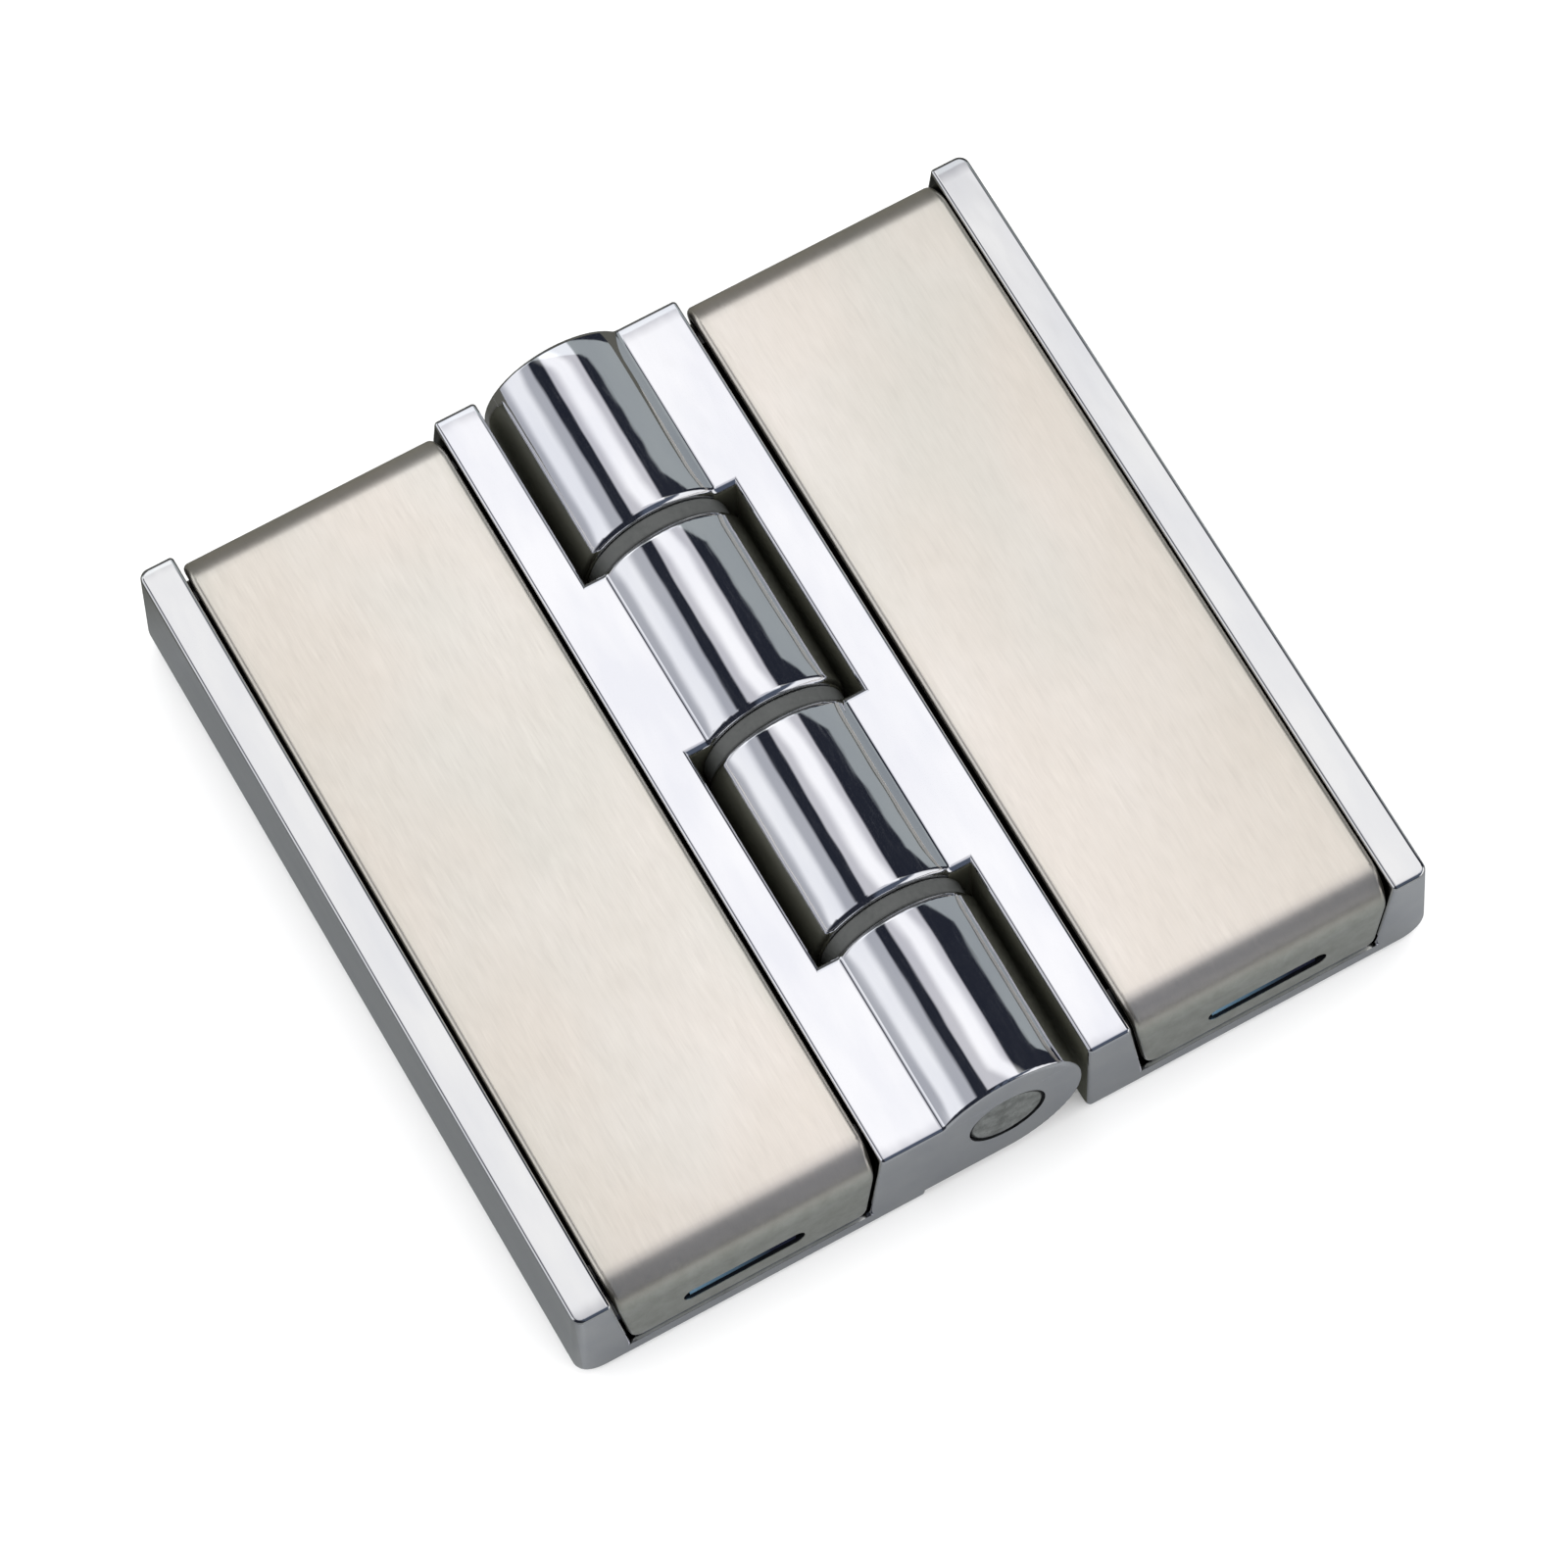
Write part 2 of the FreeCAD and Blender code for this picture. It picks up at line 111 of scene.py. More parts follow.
# ---------------------------------------------------------------------------------------------
# Node helpers
# ---------------------------------------------------------------------------------------------
class Tree:
    """Short names for the few node types that the materials need."""

    def __init__(self, node_tree):
        self.tree = node_tree
        node_tree.nodes.clear()

    def node(self, kind, **settings):
        made = self.tree.nodes.new(kind)
        for name, value in settings.items():
            setattr(made, name, value)
        return made

    def link(self, source, target):
        self.tree.links.new(source, target)

    def feed(self, socket, value):
        """Sets a socket to a number or colour, or links another socket to it."""
        if isinstance(value, bpy.types.NodeSocket):
            self.link(value, socket)
        else:
            socket.default_value = value

    def math(self, operation, *values):
        made = self.node("ShaderNodeMath", operation=operation)
        for socket, value in zip(made.inputs, values):
            self.feed(socket, value)
        return made.outputs[0]

    def absolute(self, value):
        return self.math("ABSOLUTE", value)

    def below(self, value, limit):
        """1 where a value is below a limit, and 0 elsewhere."""
        return self.math("LESS_THAN", value, limit)

    def above(self, value, limit):
        """1 where a value is above a limit, and 0 elsewhere."""
        return self.math("GREATER_THAN", value, limit)

    def inverse(self, share):
        return self.math("SUBTRACT", 1.0, share)

    def product(self, *shares):
        """The product of several shares, which is 1 only where all of them are 1."""
        result = shares[0]
        for share in shares[1:]:
            result = self.math("MULTIPLY", result, share)
        return result

    def object_place(self):
        return self.node("ShaderNodeTexCoord").outputs["Object"]

    def split(self, vector):
        made = self.node("ShaderNodeSeparateXYZ")
        self.link(vector, made.inputs[0])
        return made.outputs

    def stretch(self, vector, scale):
        """A coordinate scaled by a different amount along each axis."""
        made = self.node("ShaderNodeMapping")
        self.link(vector, made.inputs["Vector"])
        made.inputs["Scale"].default_value = scale
        return made.outputs[0]

    def noise(self, vector, scale=1.0, detail=2.0, roughness=0.5):
        """Cloudy noise.  Its scale, or the stretch of its coordinate, counts features per metre."""
        made = self.node("ShaderNodeTexNoise")
        self.link(vector, made.inputs["Vector"])
        made.inputs["Scale"].default_value = scale
        made.inputs["Detail"].default_value = detail
        made.inputs["Roughness"].default_value = roughness
        return made.outputs["Fac"]

    def span(self, value, low, high, to_low=0.0, to_high=1.0, smooth=False):
        """Maps one range to another, and holds the ends."""
        curve = "SMOOTHSTEP" if smooth else "LINEAR"
        made = self.node("ShaderNodeMapRange", clamp=True, interpolation_type=curve)
        self.feed(made.inputs["Value"], value)
        ends = {"From Min": low, "From Max": high, "To Min": to_low, "To Max": to_high}
        for name, number in ends.items():
            self.feed(made.inputs[name], number)
        return made.outputs["Result"]

    def band(self, value, low, high, soft):
        """1 between two values and 0 outside them, with soft edges."""
        rise = self.span(value, low - soft / 2, low + soft / 2, smooth=True)
        fall = self.span(value, high - soft / 2, high + soft / 2, 1.0, 0.0, smooth=True)
        return self.product(rise, fall)

    def mix(self, share, first, second, blend="MIX"):
        """One colour where the share is 0 and the other where it is 1, or both blended."""
        made = self.node("ShaderNodeMix", data_type="RGBA", blend_type=blend)
        self.feed(made.inputs["Factor"], share)
        for name, value in (("A", first), ("B", second)):
            socket = next(s for s in made.inputs if s.name == name and s.type == "RGBA")
            self.feed(socket, value if isinstance(value, bpy.types.NodeSocket) else (*value, 1))
        return next(s for s in made.outputs if s.type == "RGBA")

    def bump(self, height, strength, distance, below=None):
        """Bends the normal by a height, on top of another bump if there is one."""
        made = self.node("ShaderNodeBump")
        made.inputs["Strength"].default_value = strength
        made.inputs["Distance"].default_value = distance
        self.link(height, made.inputs["Height"])
        if below is not None:
            self.link(below, made.inputs["Normal"])
        return made.outputs["Normal"]


def new_material(name, metallic=0.0):
    """A material with a Principled shader, and the place on the object as its coordinate."""
    material = bpy.data.materials.new(name)
    material.use_nodes = True
    tree = Tree(material.node_tree)
    shader = tree.node("ShaderNodeBsdfPrincipled")
    shader.inputs["Metallic"].default_value = metallic
    output = tree.node("ShaderNodeOutputMaterial")
    tree.link(shader.outputs["BSDF"], output.inputs["Surface"])
    return material, tree, shader, tree.object_place()


# ---------------------------------------------------------------------------------------------
# Studio: open light for diffuse surfaces, and soft panels that the polished metal reflects
# ---------------------------------------------------------------------------------------------
OPEN_LIGHT = (1.6, 1.6, 1.6)
DARK_ROOM = (0.018, 0.021, 0.032)

# Each panel lies between two turns, measured from straight up towards +X, and two tilts, measured
# from the XZ plane towards +Y.  Its edges fade over the soft angles, first the turns' and then the
# tilts'.  The slant moves the panel's turn for each degree of tilt past the slant's middle.  All
# angles are in degrees.
SLANT_MIDDLE = 22.0
PANELS = {
    "ceiling": dict(light=(0.625, 0.62, 0.645), turn=(-16, 31), tilt=(-14, 48), soft=(4, 18)),
    "ceiling_core": dict(light=(0.50, 0.50, 0.48), turn=(-3, 20), tilt=(-4, 42), soft=(14, 16), slant=-1.0),
    "left_light": dict(light=(0.46, 0.47, 0.50), turn=(-104, -33), tilt=(-10, 60), soft=(5, 20)),
    "left_core": dict(light=(0.52, 0.52, 0.51), turn=(-79, -52), tilt=(-10, 60), soft=(14, 20)),
    "right_card": dict(light=(0.34, 0.37, 0.37), turn=(58, 118), tilt=(0, 70), soft=(5, 20), slant=-4.5),
    "right_glint": dict(light=(1.0, 1.0, 1.0), turn=(52, 115), tilt=(-65, -8), soft=(12, 14)),
    "back_glow": dict(light=(0.085, 0.085, 0.075), turn=(-200, 200), tilt=(48, 100), soft=(4, 20)),
    "front_glow": dict(light=(0.065, 0.08, 0.11), turn=(-5, 60), tilt=(-100, -4), soft=(20, 24)),
}


def add_studio():
    world = bpy.data.worlds.new("studio")
    bpy.context.scene.world = world
    world.use_nodes = True
    tree = Tree(world.node_tree)
    x, y, z = tree.split(tree.node("ShaderNodeTexCoord").outputs["Generated"])
    turn = tree.math("DEGREES", tree.math("ARCTAN2", x, z))
    tilt = tree.math("DEGREES", tree.math("ARCSINE", y))
    past_middle = tree.math("SUBTRACT", tilt, SLANT_MIDDLE)
    reflected = DARK_ROOM
    for panel in PANELS.values():
        shift = tree.math("MULTIPLY", past_middle, panel.get("slant", 0.0))
        straight_turn = tree.math("SUBTRACT", turn, shift)
        turn_soft, tilt_soft = panel["soft"]
        share = tree.product(tree.band(straight_turn, *panel["turn"], turn_soft),
                             tree.band(tilt, *panel["tilt"], tilt_soft))
        reflected = tree.mix(share, reflected, panel["light"], blend="ADD")
    path = tree.node("ShaderNodeLightPath")
    background = tree.node("ShaderNodeBackground")
    tree.link(tree.mix(path.outputs["Is Glossy Ray"], OPEN_LIGHT, reflected), background.inputs["Color"])
    output = tree.node("ShaderNodeOutputWorld")
    tree.link(background.outputs[0], output.inputs["Surface"])


# The floor is pale, but reflections see it darker, as painted shade: least so near the hinge, and more so to
# its left and behind it.
FLOOR_SIZE = 3.0
FLOOR_BELOW = 0.02 * MM       # under the lowest point of the hinge
FLOOR_COLOUR = (0.93, 0.93, 0.93)
FLOOR_IN_REFLECTIONS = (0.235, 0.245, 0.25)
FAR_FLOOR_IN_REFLECTIONS = (0.105, 0.11, 0.11)
BACK_FLOOR_IN_REFLECTIONS = (0.075, 0.075, 0.065)
NEAR_FLOOR = 60 * MM
FAR_FLOOR = 160 * MM
LEFT_FLOOR_FROM = -33 * MM
LEFT_FLOOR_TO = -39 * MM
LEFT_FLOOR_SHARE = 0.55
BACK_FLOOR_FROM = 30 * MM
BACK_FLOOR_TO = 38 * MM


def add_floor():
    low = cad_box[0]
    bpy.ops.mesh.primitive_plane_add(size=FLOOR_SIZE, location=(0, 0, low[2] - FLOOR_BELOW))
    floor = bpy.context.object
    floor.name = "floor"
    material = bpy.data.materials.new("pale_floor")
    material.use_nodes = True
    tree = Tree(material.node_tree)
    place = tree.object_place()
    from_middle = tree.node("ShaderNodeVectorMath", operation="LENGTH")
    tree.link(place, from_middle.inputs[0])
    x, y = tree.split(place)[:2]
    away = tree.span(from_middle.outputs["Value"], NEAR_FLOOR, FAR_FLOOR, smooth=True)
    on_left = tree.span(x, LEFT_FLOOR_FROM, LEFT_FLOOR_TO, 0.0, LEFT_FLOOR_SHARE, smooth=True)
    reflected = tree.mix(tree.math("MAXIMUM", away, on_left), FLOOR_IN_REFLECTIONS, FAR_FLOOR_IN_REFLECTIONS)
    behind = tree.span(y, BACK_FLOOR_FROM, BACK_FLOOR_TO)
    reflected = tree.mix(behind, reflected, BACK_FLOOR_IN_REFLECTIONS)
    path = tree.node("ShaderNodeLightPath")
    surface = tree.node("ShaderNodeBsdfDiffuse")
    tree.link(tree.mix(path.outputs["Is Glossy Ray"], FLOOR_COLOUR, reflected), surface.inputs["Color"])
    output = tree.node("ShaderNodeOutputMaterial")
    tree.link(surface.outputs[0], output.inputs["Surface"])
    floor.data.materials.append(material)


# ---------------------------------------------------------------------------------------------
# Places on the hinge that the materials refer to
# ---------------------------------------------------------------------------------------------
KNUCKLE_PITCH = 16.8 * MM     # from the middle of one gap in the barrel to the next
KNUCKLE_FACE = 0.75 * MM      # from the middle of a gap to just past the knuckle's face
PIN_HEIGHT = 7.0 * MM
PIN_RIM_INSIDE = 2.80 * MM    # where the dark rim of the pin's end begins and where it is full
PIN_RIM_OUTSIDE = 2.98 * MM
BARREL_SKIN = 5.6 * MM        # from the pin's axis: only the barrels' rounded outside is past it
CREASE_AT = 4.7 * MM          # where the barrels begin to blend into the flat top
SLOT_AT = 20.7 * MM           # from the pin to the middle of each cover's slot
SLOT_LENGTH = 9.5 * MM
SLOT_MIDDLE = 4.8 * MM        # height of the slots' middle
SLOT_REACH = 0.8 * MM         # from the slots' middle to just past their long sides
SLOT_REACH_ACROSS = 5.05 * MM   # and to just past their ends
LUG_REACH = 0.9 * MM          # from the slots' middle to past the lugs' top and bottom
LUG_FROM = 31.3 * MM          # from the hinge's middle to the end walls that carry the lugs
CHANNEL_NEAR = 9.79 * MM      # from the pin to the channel's sides
CHANNEL_FAR = 30.81 * MM
LEAF_END = 32.5 * MM
OUTER_SIDE = 33.5 * MM        # from the pin to just inside the leaves' outer sides
OUTER_RAIL_FROM = 29.81 * MM  # from the pin to a little inside the outer rails
RAIL_TOP = 10.5 * MM
RAIL_SKIN = 10.1 * MM         # above it are only the flat tops, their rounded edges and the barrels
NOTCH_WALL_TOP = 10.25 * MM   # where the notches' walls turn into rounded edges
EDGE_ROUND = 0.3 * MM         # the rounds of the polished edges
MARGIN = 0.2 * MM             # past a face, and short of its neighbours
HAIR_BREADTH = 0.02 * MM
LEDGE_TOP = 1.9 * MM
PLATE_SKIN = 32.35 * MM       # from the hinge's middle to just inside the covers' outer ends
NOTCH_WALL = 6.5 * MM         # from the pin to the walls beside the other leaf's barrels
COVER_FLAT_TO = 26.5 * MM     # where the covers begin to droop towards their bends
COVER_BEND_AT = 29.6 * MM
COVER_MIDDLE = 20.3 * MM      # from the pin to the middle of each cover
COVER_HALF_WIDTH = 10.29 * MM
COVER_INSIDE = 12 * MM        # from the pin to near each side of a cover
COVER_OUTSIDE = 28 * MM


class Spot:
    """The place that is being shaded, as sockets measured from the hinge's own features."""

    def __init__(self, tree, place):
        self.tree = tree
        self.x, self.y, self.z = tree.split(place)

    @cached_property
    def across(self):
        """How far from the pin, to either side."""
        return self.tree.absolute(self.x)

    @cached_property
    def along(self):
        """How far from the hinge's middle towards either end."""
        return self.tree.absolute(self.y)

    @cached_property
    def from_pin(self):
        """How far from the pin's axis in the XZ plane."""
        up = self.tree.math("SUBTRACT", self.z, PIN_HEIGHT)
        squares = self.tree.math("ADD", self.tree.product(self.x, self.x), self.tree.product(up, up))
        return self.tree.math("SQRT", squares)

    @cached_property
    def from_gap(self):
        """How far along the pin from the middle of the nearest gap."""
        return self.tree.math("PINGPONG", self.y, KNUCKLE_PITCH / 2)

    @cached_property
    def past_slot(self):
        """How far outwards from the slot's middle, or inwards if negative."""
        return self.tree.math("SUBTRACT", self.across, SLOT_AT)

    @cached_property
    def from_slot_middle(self):
        """How far above or below the slot's middle."""
        return self.tree.absolute(self.tree.math("SUBTRACT", self.z, SLOT_MIDDLE))


# ---------------------------------------------------------------------------------------------
# Chrome
# ---------------------------------------------------------------------------------------------
PLATE = (0.84, 0.84, 0.86)
CLOUDED_PLATE = (0.765, 0.77, 0.81)
OUTER_RAIL_PAINTED_SHADE = (0.885, 0.885, 0.860)
NOTCH_PAINTED_SHADE = (0.27, 0.27, 0.21)
CHANNEL_PAINTED_SHADE = (0.02, 0.02, 0.02)
LUG_PAINTED_HIGHLIGHT = (0.42, 0.72, 0.95)
LUG_PAINTED_SHADE = (0.03, 0.035, 0.075)
MATT_ROUGHNESS = 0.5              # added where the casting is not polished
WAVE_HEIGHT = 0.05 * MM
SCRATCH_HEIGHT = 0.004 * MM
BARREL_WEAR_FROM = 0.4 * MM       # from the middle of the gap: worn most
BARREL_WEAR_TO = 3.2 * MM         # and not worn at all
BARREL_WEAR_HEIGHT = 0.10 * MM
BARREL_WEAR_FADE = 1.1 * MM       # across, before the crease
RAIL_WEAR_LENGTH = 1.6 * MM       # along, from the leaf's end
RAIL_WEAR_HEIGHT = 0.09 * MM


def barrel_end_wear(tree, spot):
    """How far polishing has left the barrels standing: 1 along each knuckle, less at its ends."""
    full = tree.span(spot.from_gap, BARREL_WEAR_FROM, BARREL_WEAR_TO)
    rolled = tree.inverse(tree.math("POWER", tree.inverse(full), 2.0))
    share = tree.product(
        tree.span(spot.across, CREASE_AT - BARREL_WEAR_FADE, CREASE_AT, 1.0, 0.0, smooth=True),
        tree.above(spot.from_pin, BARREL_SKIN),
        tree.above(spot.z, PIN_HEIGHT),
        tree.below(spot.along, LEAF_END - HAIR_BREADTH),
    )
    return tree.math("ADD", tree.product(rolled, share), tree.inverse(share))


def rail_end_wear(tree, spot):
    """The same on the flat tops, which droop a little at the leaf's ends."""
    past = tree.span(spot.along, LEAF_END - RAIL_WEAR_LENGTH, LEAF_END)
    on_top = tree.above(spot.z, RAIL_SKIN)
    return tree.inverse(tree.product(tree.math("POWER", past, 2.0), on_top))


def outer_painted_shade(tree, spot):
    """1 on the outer rails' tops and the leaves' outer sides, which are darkened with painted shade."""
    rail = tree.product(
        tree.above(spot.across, OUTER_RAIL_FROM),
        tree.above(spot.z, RAIL_TOP - EDGE_ROUND),
    )
    return tree.math("MAXIMUM", rail, tree.above(spot.across, OUTER_SIDE))


def unpolished_and_shaded(tree, spot):
    """1 on the walls of the notches and on the webs' sides, which a polishing wheel cannot reach: they are
    rougher, and their dark olive colour is painted shade.
    """
    under_top = tree.below(spot.z, NOTCH_WALL_TOP)
    wall = tree.product(
        under_top,
        tree.below(spot.along, LEAF_END - EDGE_ROUND),
        tree.above(spot.across, NOTCH_WALL - MARGIN / 2),
        tree.below(spot.across, NOTCH_WALL + MARGIN),
    )
    web = tree.product(
        under_top,
        tree.below(spot.from_gap, KNUCKLE_FACE),
        tree.above(spot.across, CREASE_AT),
        tree.below(spot.across, NOTCH_WALL),
    )
    return tree.math("MAXIMUM", wall, web)


def channel_shade_mask(tree, spot):
    """1 on the channel's walls and in the recess behind each end plate, which are painted black as shade."""
    return tree.product(
        tree.above(spot.across, CHANNEL_NEAR),
        tree.below(spot.across, CHANNEL_FAR),
        tree.below(spot.along, LEAF_END - EDGE_ROUND),
        tree.below(spot.z, RAIL_TOP - EDGE_ROUND),
        tree.above(spot.z, LEDGE_TOP - MARGIN),
    )


def on_lug(tree, spot):
    """1 on the lugs that fill the covers' slots."""
    return tree.product(
        tree.below(tree.absolute(spot.past_slot), SLOT_LENGTH / 2),
        tree.below(spot.from_slot_middle, LUG_REACH),
        tree.above(spot.along, LUG_FROM),
    )


def lug_painted_light(tree, spot):
    """Painted light on the lugs: dark blue painted shade, with a pale painted highlight towards their left
    end.
    """
    from_left = tree.product(spot.past_slot, tree.math("SIGN", spot.x))
    share = tree.span(from_left, -SLOT_LENGTH / 2, SLOT_LENGTH / 4)
    return tree.mix(share, LUG_PAINTED_HIGHLIGHT, LUG_PAINTED_SHADE)


def polished_chrome():
    """Chrome plate over a hand-polished casting: nearly a mirror, a little wavy, finely scratched."""
    material, tree, shader, place = new_material("polished_chrome", metallic=1.0)
    spot = Spot(tree, place)
    matt_and_shaded = unpolished_and_shaded(tree, spot)
    lug = on_lug(tree, spot)

    clouds = tree.noise(tree.stretch(place, (300, 90, 300)), detail=3)
    plate = tree.mix(tree.span(clouds, 0.35, 0.65), CLOUDED_PLATE, PLATE)
    # Painted shade: the outer rails' tops and the leaves' outer sides are darkened.
    plate = tree.mix(outer_painted_shade(tree, spot), plate, OUTER_RAIL_PAINTED_SHADE, blend="MULTIPLY")
    # Painted shade: the notch walls and webs are darkened to olive.
    plate = tree.mix(matt_and_shaded, plate, NOTCH_PAINTED_SHADE)
    # Painted shade: the channel's walls and the recesses behind the end plates are black.
    plate = tree.mix(channel_shade_mask(tree, spot), plate, CHANNEL_PAINTED_SHADE)
    # Painted shade and a painted highlight on the lugs in the covers' slots.
    tree.link(tree.mix(lug, plate, lug_painted_light(tree, spot)), shader.inputs["Base Color"])

    scratches = tree.noise(tree.stretch(place, (9000, 500, 2500)), detail=1)
    polish = tree.span(scratches, 0.45, 0.85, 0.035, 0.11)
    matt = tree.product(tree.math("MAXIMUM", matt_and_shaded, lug), MATT_ROUGHNESS)
    tree.link(tree.math("ADD", polish, matt), shader.inputs["Roughness"])

    swell = tree.noise(tree.stretch(place, (260, 110, 260)), detail=2)
    waves = tree.bump(swell, 1.0, WAVE_HEIGHT)
    worn = tree.bump(barrel_end_wear(tree, spot), 1.0, BARREL_WEAR_HEIGHT, waves)
    worn = tree.bump(rail_end_wear(tree, spot), 1.0, RAIL_WEAR_HEIGHT, worn)
    tree.link(tree.bump(scratches, 0.03, SCRATCH_HEIGHT, worn), shader.inputs["Normal"])
    return material


# ---------------------------------------------------------------------------------------------
# Brushed stainless
# ---------------------------------------------------------------------------------------------
BEIGE = (0.812, 0.750, 0.672)
LIGHT_BEIGE = (0.885, 0.828, 0.765)
WARM_PATCH = (0.855, 0.785, 0.705)
GREY_PATCH = (0.775, 0.760, 0.695)
DARK_HAIR = (0.52, 0.49, 0.45)
LIGHT_STROKE = (1.0, 0.97, 0.94)
DARK_STROKE = (0.45, 0.42, 0.38)
COVER_INNER_PAINTED_LIGHT = (1.04, 1.04, 1.04)
COVER_OUTER_PAINTED_SHADE = (0.955, 0.955, 0.94)
COVER_EDGE_PAINTED_SHADE = (0.60, 0.58, 0.51)
EDGE_SHADE_FROM = 1.3 * MM             # from a cover's long side: none
EDGE_SHADE_TO = 0.1 * MM               # and most
DEEP_OLIVE_PAINTED_SHADE = (0.555, 0.555, 0.500)
PALE_OLIVE_PAINTED_SHADE = (0.680, 0.680, 0.630)
OLIVE_FROM = 0.6 * MM             # below the flat: none
OLIVE_TO = 2.2 * MM               # and full
SLOT_PAINTED_SHADE = (0.05, 0.055, 0.065)
DROOP_HEIGHT = 0.06 * MM
HAIR_HEIGHT = 0.004 * MM


def warm_steel(tree, place, mottle):
    """Large, faint patches: beige over most of the sheet, warmer or greyer in places."""
    bloom = tree.noise(tree.stretch(place, (60, 34, 60)), detail=2)
    warm = tree.mix(tree.span(mottle, 0.3, 0.7), BEIGE, LIGHT_BEIGE)
    warm = tree.mix(tree.span(bloom, 0.44, 0.64, 0.0, 0.6), warm, WARM_PATCH)
    return tree.mix(tree.span(bloom, 0.36, 0.52, 0.55, 0.0), warm, GREY_PATCH)


def brushing(tree, place, hairs, colour):
    """Fine dark hairs along the pin, and broader strokes both lighter and darker than the sheet."""
    strokes = tree.noise(tree.stretch(place, (3600, 480, 900)), detail=3, roughness=0.55)
    colour = tree.mix(tree.span(hairs, 0.3, 0.7, 0.0, 0.08), colour, DARK_HAIR)
    colour = tree.mix(tree.span(strokes, 0.50, 0.72, 0.0, 0.05), colour, LIGHT_STROKE)
    return tree.mix(tree.span(strokes, 0.28, 0.50, 0.07, 0.0), colour, DARK_STROKE)


def edge_painted_shade(tree, spot, mottle):
    """The share of painted shade along a cover's long sides, beside the rails, uneven with the mottle."""
    from_middle = tree.absolute(tree.math("SUBTRACT", spot.across, COVER_MIDDLE))
    by_edge = tree.span(from_middle, COVER_HALF_WIDTH - EDGE_SHADE_FROM, COVER_HALF_WIDTH - EDGE_SHADE_TO)
    return tree.product(by_edge, tree.span(mottle, 0.3, 0.7, 0.25, 0.75))


def bend_painted_shade(tree, place):
    """Painted shade: the blotchy olive grey of the bent-down ends."""
    blotches = tree.noise(place, scale=620, detail=4, roughness=0.65)
    return tree.mix(tree.span(blotches, 0.35, 0.65), DEEP_OLIVE_PAINTED_SHADE, PALE_OLIVE_PAINTED_SHADE)


def slot_wall(tree, spot):
    """1 on the punched walls of the slots."""
    return tree.product(
        tree.below(tree.absolute(spot.past_slot), SLOT_REACH_ACROSS),
        tree.below(spot.from_slot_middle, SLOT_REACH),
        tree.below(spot.along, PLATE_SKIN),
    )


def brushed_stainless():
    """Stainless sheet brushed along the pin, warm and faintly mottled."""
    material, tree, shader, place = new_material("brushed_stainless", metallic=1.0)
    spot = Spot(tree, place)
    hairs = tree.noise(tree.stretch(place, (15000, 420, 2600)), detail=2, roughness=0.6)
    mottle = tree.noise(place, scale=75, detail=5, roughness=0.6)

    colour = brushing(tree, place, hairs, warm_steel(tree, place, mottle))
    # Painted light and shade: the covers are lighter near the pin and darker towards their outer sides.
    outwards = tree.span(spot.across, COVER_INSIDE, COVER_OUTSIDE)
    shade = tree.mix(outwards, COVER_INNER_PAINTED_LIGHT, COVER_OUTER_PAINTED_SHADE)
    colour = tree.mix(1.0, colour, shade, blend="MULTIPLY")
    # Painted shade along the covers' long sides, where they meet the rails.
    colour = tree.mix(edge_painted_shade(tree, spot, mottle), colour, COVER_EDGE_PAINTED_SHADE)
    # Painted shade: the bent-down ends turn olive grey below the flat.
    lowered = tree.span(spot.z, RAIL_TOP - OLIVE_FROM, RAIL_TOP - OLIVE_TO, smooth=True)
    colour = tree.mix(lowered, colour, bend_painted_shade(tree, place))
    # Painted shade: the slots' punched walls are darkened.
    tree.link(tree.mix(slot_wall(tree, spot), colour, SLOT_PAINTED_SHADE), shader.inputs["Base Color"])

    tree.link(tree.span(hairs, 0.3, 0.7, 0.29, 0.38), shader.inputs["Roughness"])

    towards_end = tree.span(spot.along, COVER_FLAT_TO, COVER_BEND_AT)
    droop = tree.product(tree.math("POWER", towards_end, 2.0), -1.0)
    gentle = tree.bump(droop, 1.0, DROOP_HEIGHT)
    tree.link(tree.bump(hairs, 0.10, HAIR_HEIGHT, gentle), shader.inputs["Normal"])
    return material


# ---------------------------------------------------------------------------------------------
# Pin and washers
# ---------------------------------------------------------------------------------------------
DARK_STEEL = (0.34, 0.345, 0.33)
LIGHT_STEEL = (0.60, 0.61, 0.59)
STEEL_PITS = (0.22, 0.22, 0.20)
PIN_RIM_PAINTED_SHADE = (0.02, 0.02, 0.02)
RIM_UNEVENNESS = 0.35 * MM
STEEL_GRAIN_HEIGHT = 0.03 * MM
DARK_PLASTIC = (0.050, 0.053, 0.052)
LIGHT_PLASTIC = (0.080, 0.083, 0.080)
PLASTIC_GRAIN_HEIGHT = 0.02 * MM


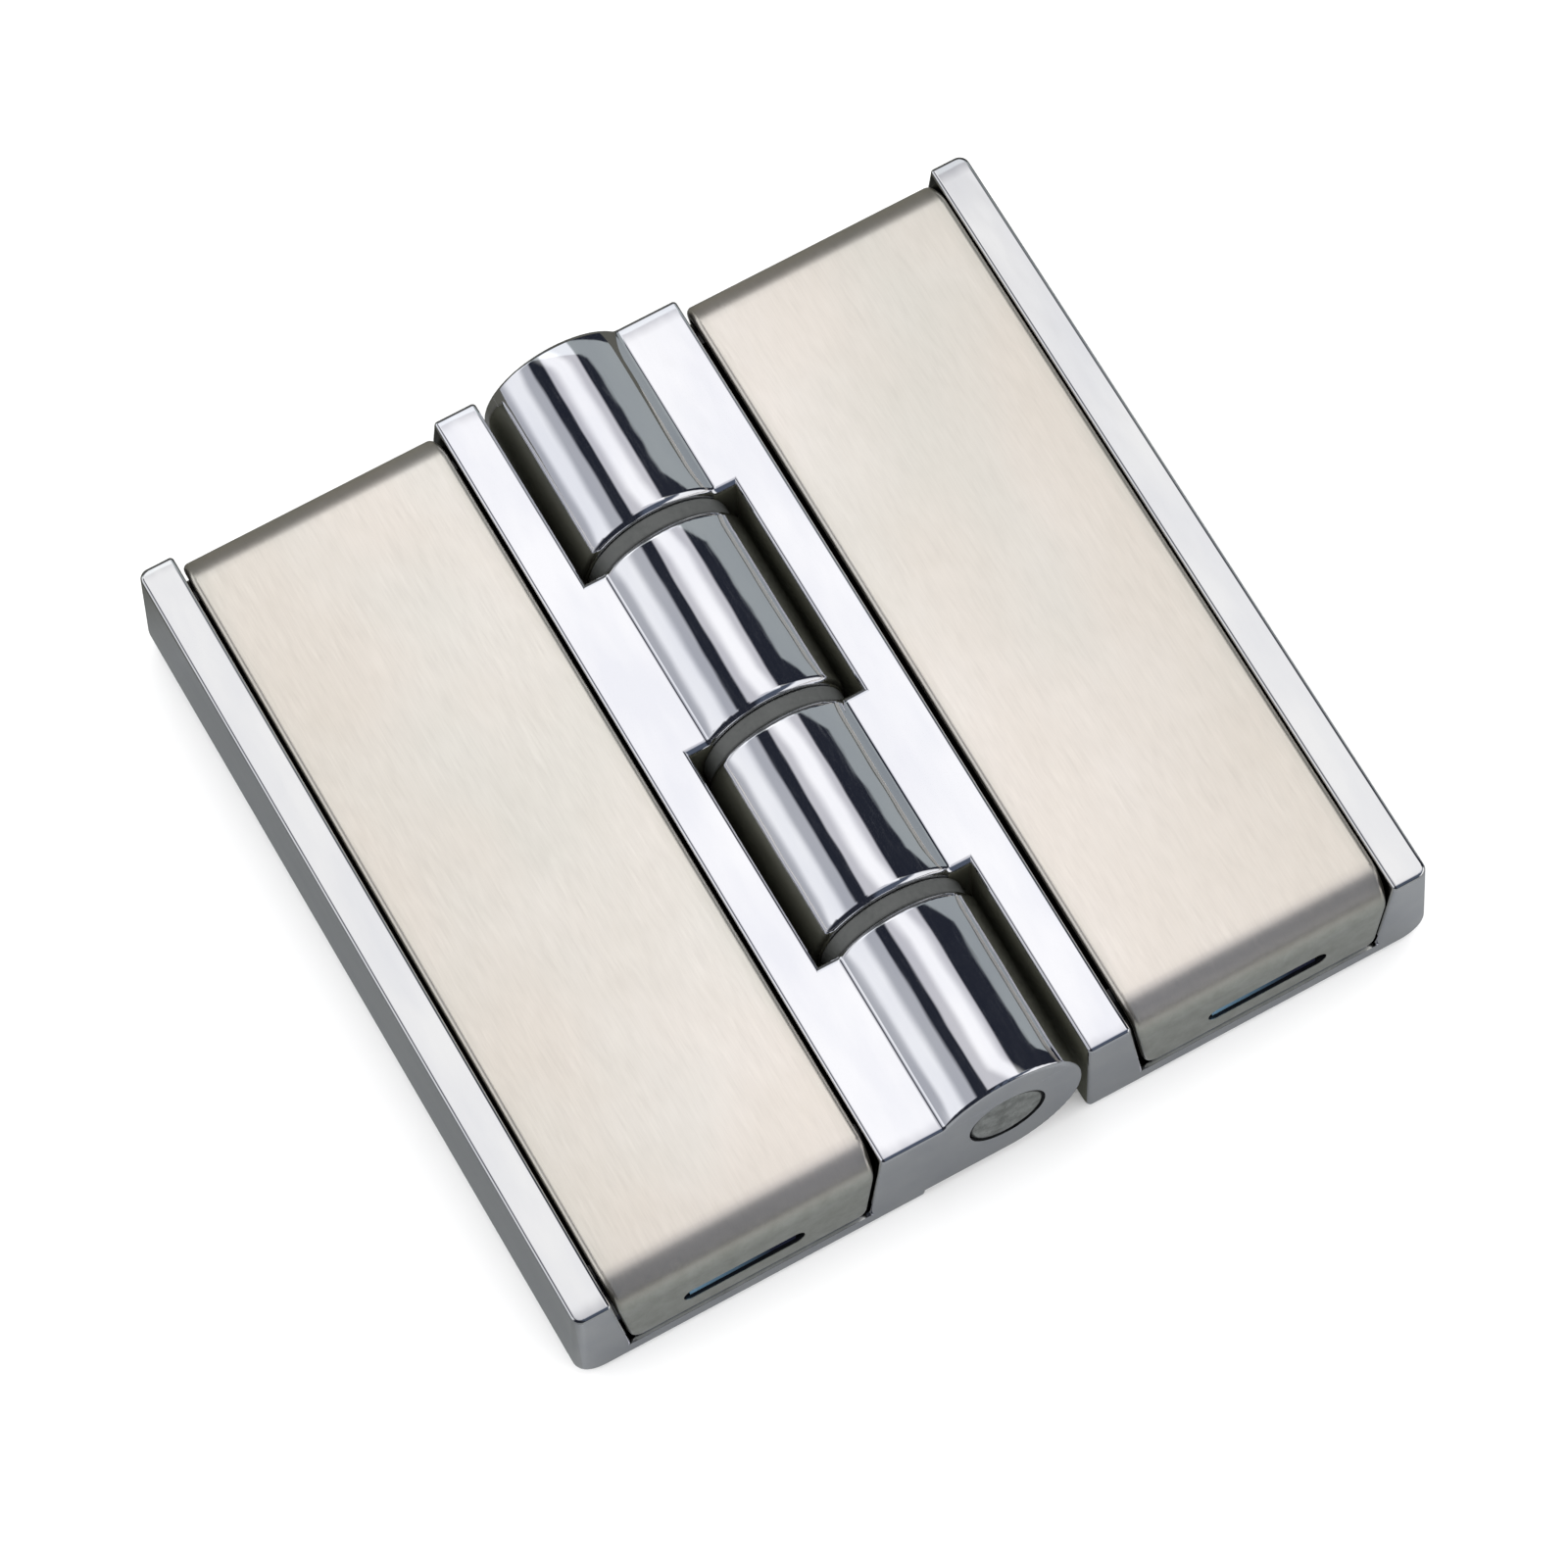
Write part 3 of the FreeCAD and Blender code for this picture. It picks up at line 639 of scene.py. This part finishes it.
def cut_steel():
    """The sawn and lightly turned end of the pin, with a dark, uneven rim of painted shade."""
    material, tree, shader, place = new_material("cut_steel", metallic=1.0)
    spot = Spot(tree, place)
    grains = tree.noise(place, scale=5200, detail=4, roughness=0.6)
    patches = tree.noise(place, scale=900, detail=3)
    face = tree.mix(tree.span(patches, 0.35, 0.65), DARK_STEEL, LIGHT_STEEL)
    face = tree.mix(tree.span(grains, 0.52, 0.72, 0.0, 0.55), face, STEEL_PITS)
    ragged = tree.math("ADD", spot.from_pin, tree.product(patches, RIM_UNEVENNESS))
    rim = tree.span(ragged, PIN_RIM_INSIDE, PIN_RIM_OUTSIDE, smooth=True)
    # Painted shade: the dark, uneven rim around the pin's end.
    tree.link(tree.mix(rim, face, PIN_RIM_PAINTED_SHADE), shader.inputs["Base Color"])
    tree.link(tree.span(grains, 0.3, 0.7, 0.30, 0.5), shader.inputs["Roughness"])
    tree.link(tree.bump(grains, 0.6, STEEL_GRAIN_HEIGHT), shader.inputs["Normal"])
    return material


def washer_plastic():
    """Dark grey moulded plastic."""
    material, tree, shader, place = new_material("washer_plastic_skin")
    grains = tree.noise(place, scale=2500, detail=3)
    tree.link(tree.mix(grains, DARK_PLASTIC, LIGHT_PLASTIC), shader.inputs["Base Color"])
    tree.link(tree.span(grains, 0.3, 0.7, 0.4, 0.55), shader.inputs["Roughness"])
    tree.link(tree.bump(grains, 0.3, PLASTIC_GRAIN_HEIGHT), shader.inputs["Normal"])
    return material


# ---------------------------------------------------------------------------------------------
# Pieces
# ---------------------------------------------------------------------------------------------
FINISHES = {
    "chromed_casting": polished_chrome(),
    "brushed_cover": brushed_stainless(),
    "pin_steel": cut_steel(),
    "washer_plastic": washer_plastic(),
}
NORMAL_WEIGHT = 50


def clean_copy(node):
    """The same shape with normals weighted by face area, so that wide faces reflect without flaws."""
    source = frame["nodes"][node]
    piece = bpy.data.objects.new(f"{node}_polished", source.data.copy())
    bpy.context.scene.collection.objects.link(piece)
    piece.data.name = piece.name
    piece.data.attributes.remove(piece.data.attributes["custom_normal"])
    weighted = piece.modifiers.new("weighted", "WEIGHTED_NORMAL")
    weighted.mode = "FACE_AREA"
    weighted.weight = NORMAL_WEIGHT
    weighted.keep_sharp = True
    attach(piece, source["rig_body"])
    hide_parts(node)
    return piece


def finish_nodes():
    """Gives every node its finish.  The leaves are shown as clean copies."""
    for row in frame["record"]["subparts"]:
        piece = frame["nodes"][row["node"]]
        if row["node"].startswith("leaf"):
            piece = clean_copy(row["node"])
        piece.material_slots[0].material = FINISHES[row["material_slot"]]


add_camera()
add_studio()
add_floor()
finish_nodes()

bpy.context.scene.view_settings.view_transform = "Standard"
